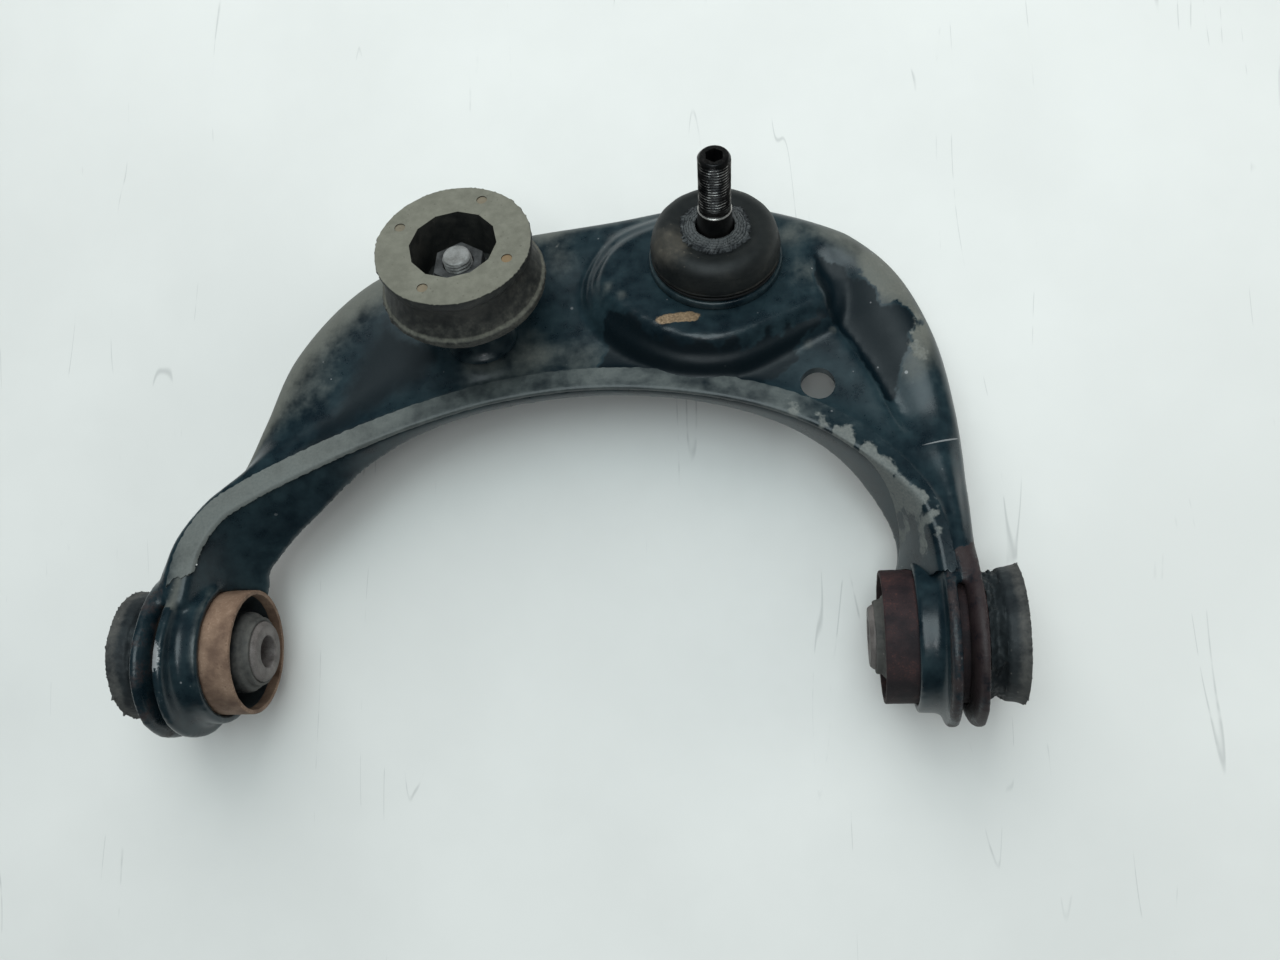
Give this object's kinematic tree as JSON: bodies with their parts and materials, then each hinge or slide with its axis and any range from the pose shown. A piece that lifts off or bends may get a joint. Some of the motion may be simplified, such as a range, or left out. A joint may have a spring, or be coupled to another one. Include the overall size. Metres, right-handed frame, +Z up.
{
  "type": "suspension control arm",
  "caption": "Pressed steel suspension control arm with two rubber pivot bushes, a ball joint with a threaded taper stud, and a round rubber bump stop.",
  "frame": {"origin": "on the ground under the middle of the bounding box, with the arm lying on its bushes and its ball joint housing", "axes": "+X along the pivot axis from the left bush to the right bush, +Y from the pivot axis towards the ball joint, +Z up from the ground on the side the stud points to"},
  "size_m": [0.3408, 0.2044, 0.0923],
  "materials": {
    "arm_paint": "satin",
    "sleeve_rust": "rough",
    "core_steel": "dull",
    "bush_rubber": "matt",
    "boot_rubber": "matt",
    "lip_rubber": "rough",
    "bump_rubber": "matt",
    "stud_steel": "dull",
    "zinc_steel": "dull",
    "liner_polymer": "satin"
  },
  "bodies": {
    "arm": {"arm_pressing": "arm_paint", "bush_outer_sleeve_left": "sleeve_rust", "bush_outer_sleeve_right": "sleeve_rust", "bush_rubber_left": "bush_rubber", "bush_rubber_right": "bush_rubber", "bush_stop_ring_left": "core_steel", "bush_stop_ring_right": "core_steel", "joint_housing": "arm_paint", "pressure_disc": "stud_steel", "joint_cover": "zinc_steel", "boot_clamp_ring": "stud_steel", "dust_boot": "boot_rubber", "bump_spigot": "arm_paint", "bump_seat": "arm_paint", "bump_rubber": "bump_rubber", "bump_washer": "zinc_steel", "bump_nut": "zinc_steel", "bump_stud": "zinc_steel"},
    "liner": {"bearing_shell": "liner_polymer"},
    "boot_neck": {"boot_lip_ring": "lip_rubber"},
    "stud": {"ball_stud": "stud_steel"},
    "pivot_left": {"bush_inner_sleeve_left": "core_steel"},
    "pivot_right": {"bush_inner_sleeve_right": "core_steel"}
  },
  "joints": [
    {"name": "stud_tilt_cross", "type": "hinge", "parent": "arm", "child": "liner", "pos_m": [0.064, 0.07084, 0.02691], "axis": [0.9972, -0.0327, -0.0675], "range_deg": [-20, 20], "deforming": ["dust_boot"]},
    {"name": "stud_tilt_long", "type": "hinge", "parent": "liner", "child": "boot_neck", "pos_m": [0.064, 0.07084, 0.02691], "axis": [0, 0.8996, -0.4366], "range_deg": [-20, 20], "deforming": ["dust_boot"]},
    {"name": "stud_turn", "type": "hinge", "parent": "boot_neck", "child": "stud", "pos_m": [0.064, 0.07084, 0.02691], "axis": [0.075, 0.4354, 0.8971], "continuous": true},
    {"name": "pivot_left_turn", "type": "hinge", "parent": "arm", "child": "pivot_left", "pos_m": [-0.1428, -0.06988, 0.0324], "axis": [1, 0, 0], "range_deg": [-20, 20], "stiffness_Nm_per_rad": 30, "deforming": ["bush_rubber_left"]},
    {"name": "pivot_right_turn", "type": "hinge", "parent": "arm", "child": "pivot_right", "pos_m": [0.1428, -0.06988, 0.0324], "axis": [1, 0, 0], "range_deg": [-20, 20], "stiffness_Nm_per_rad": 30, "deforming": ["bush_rubber_right"]}
  ]
}
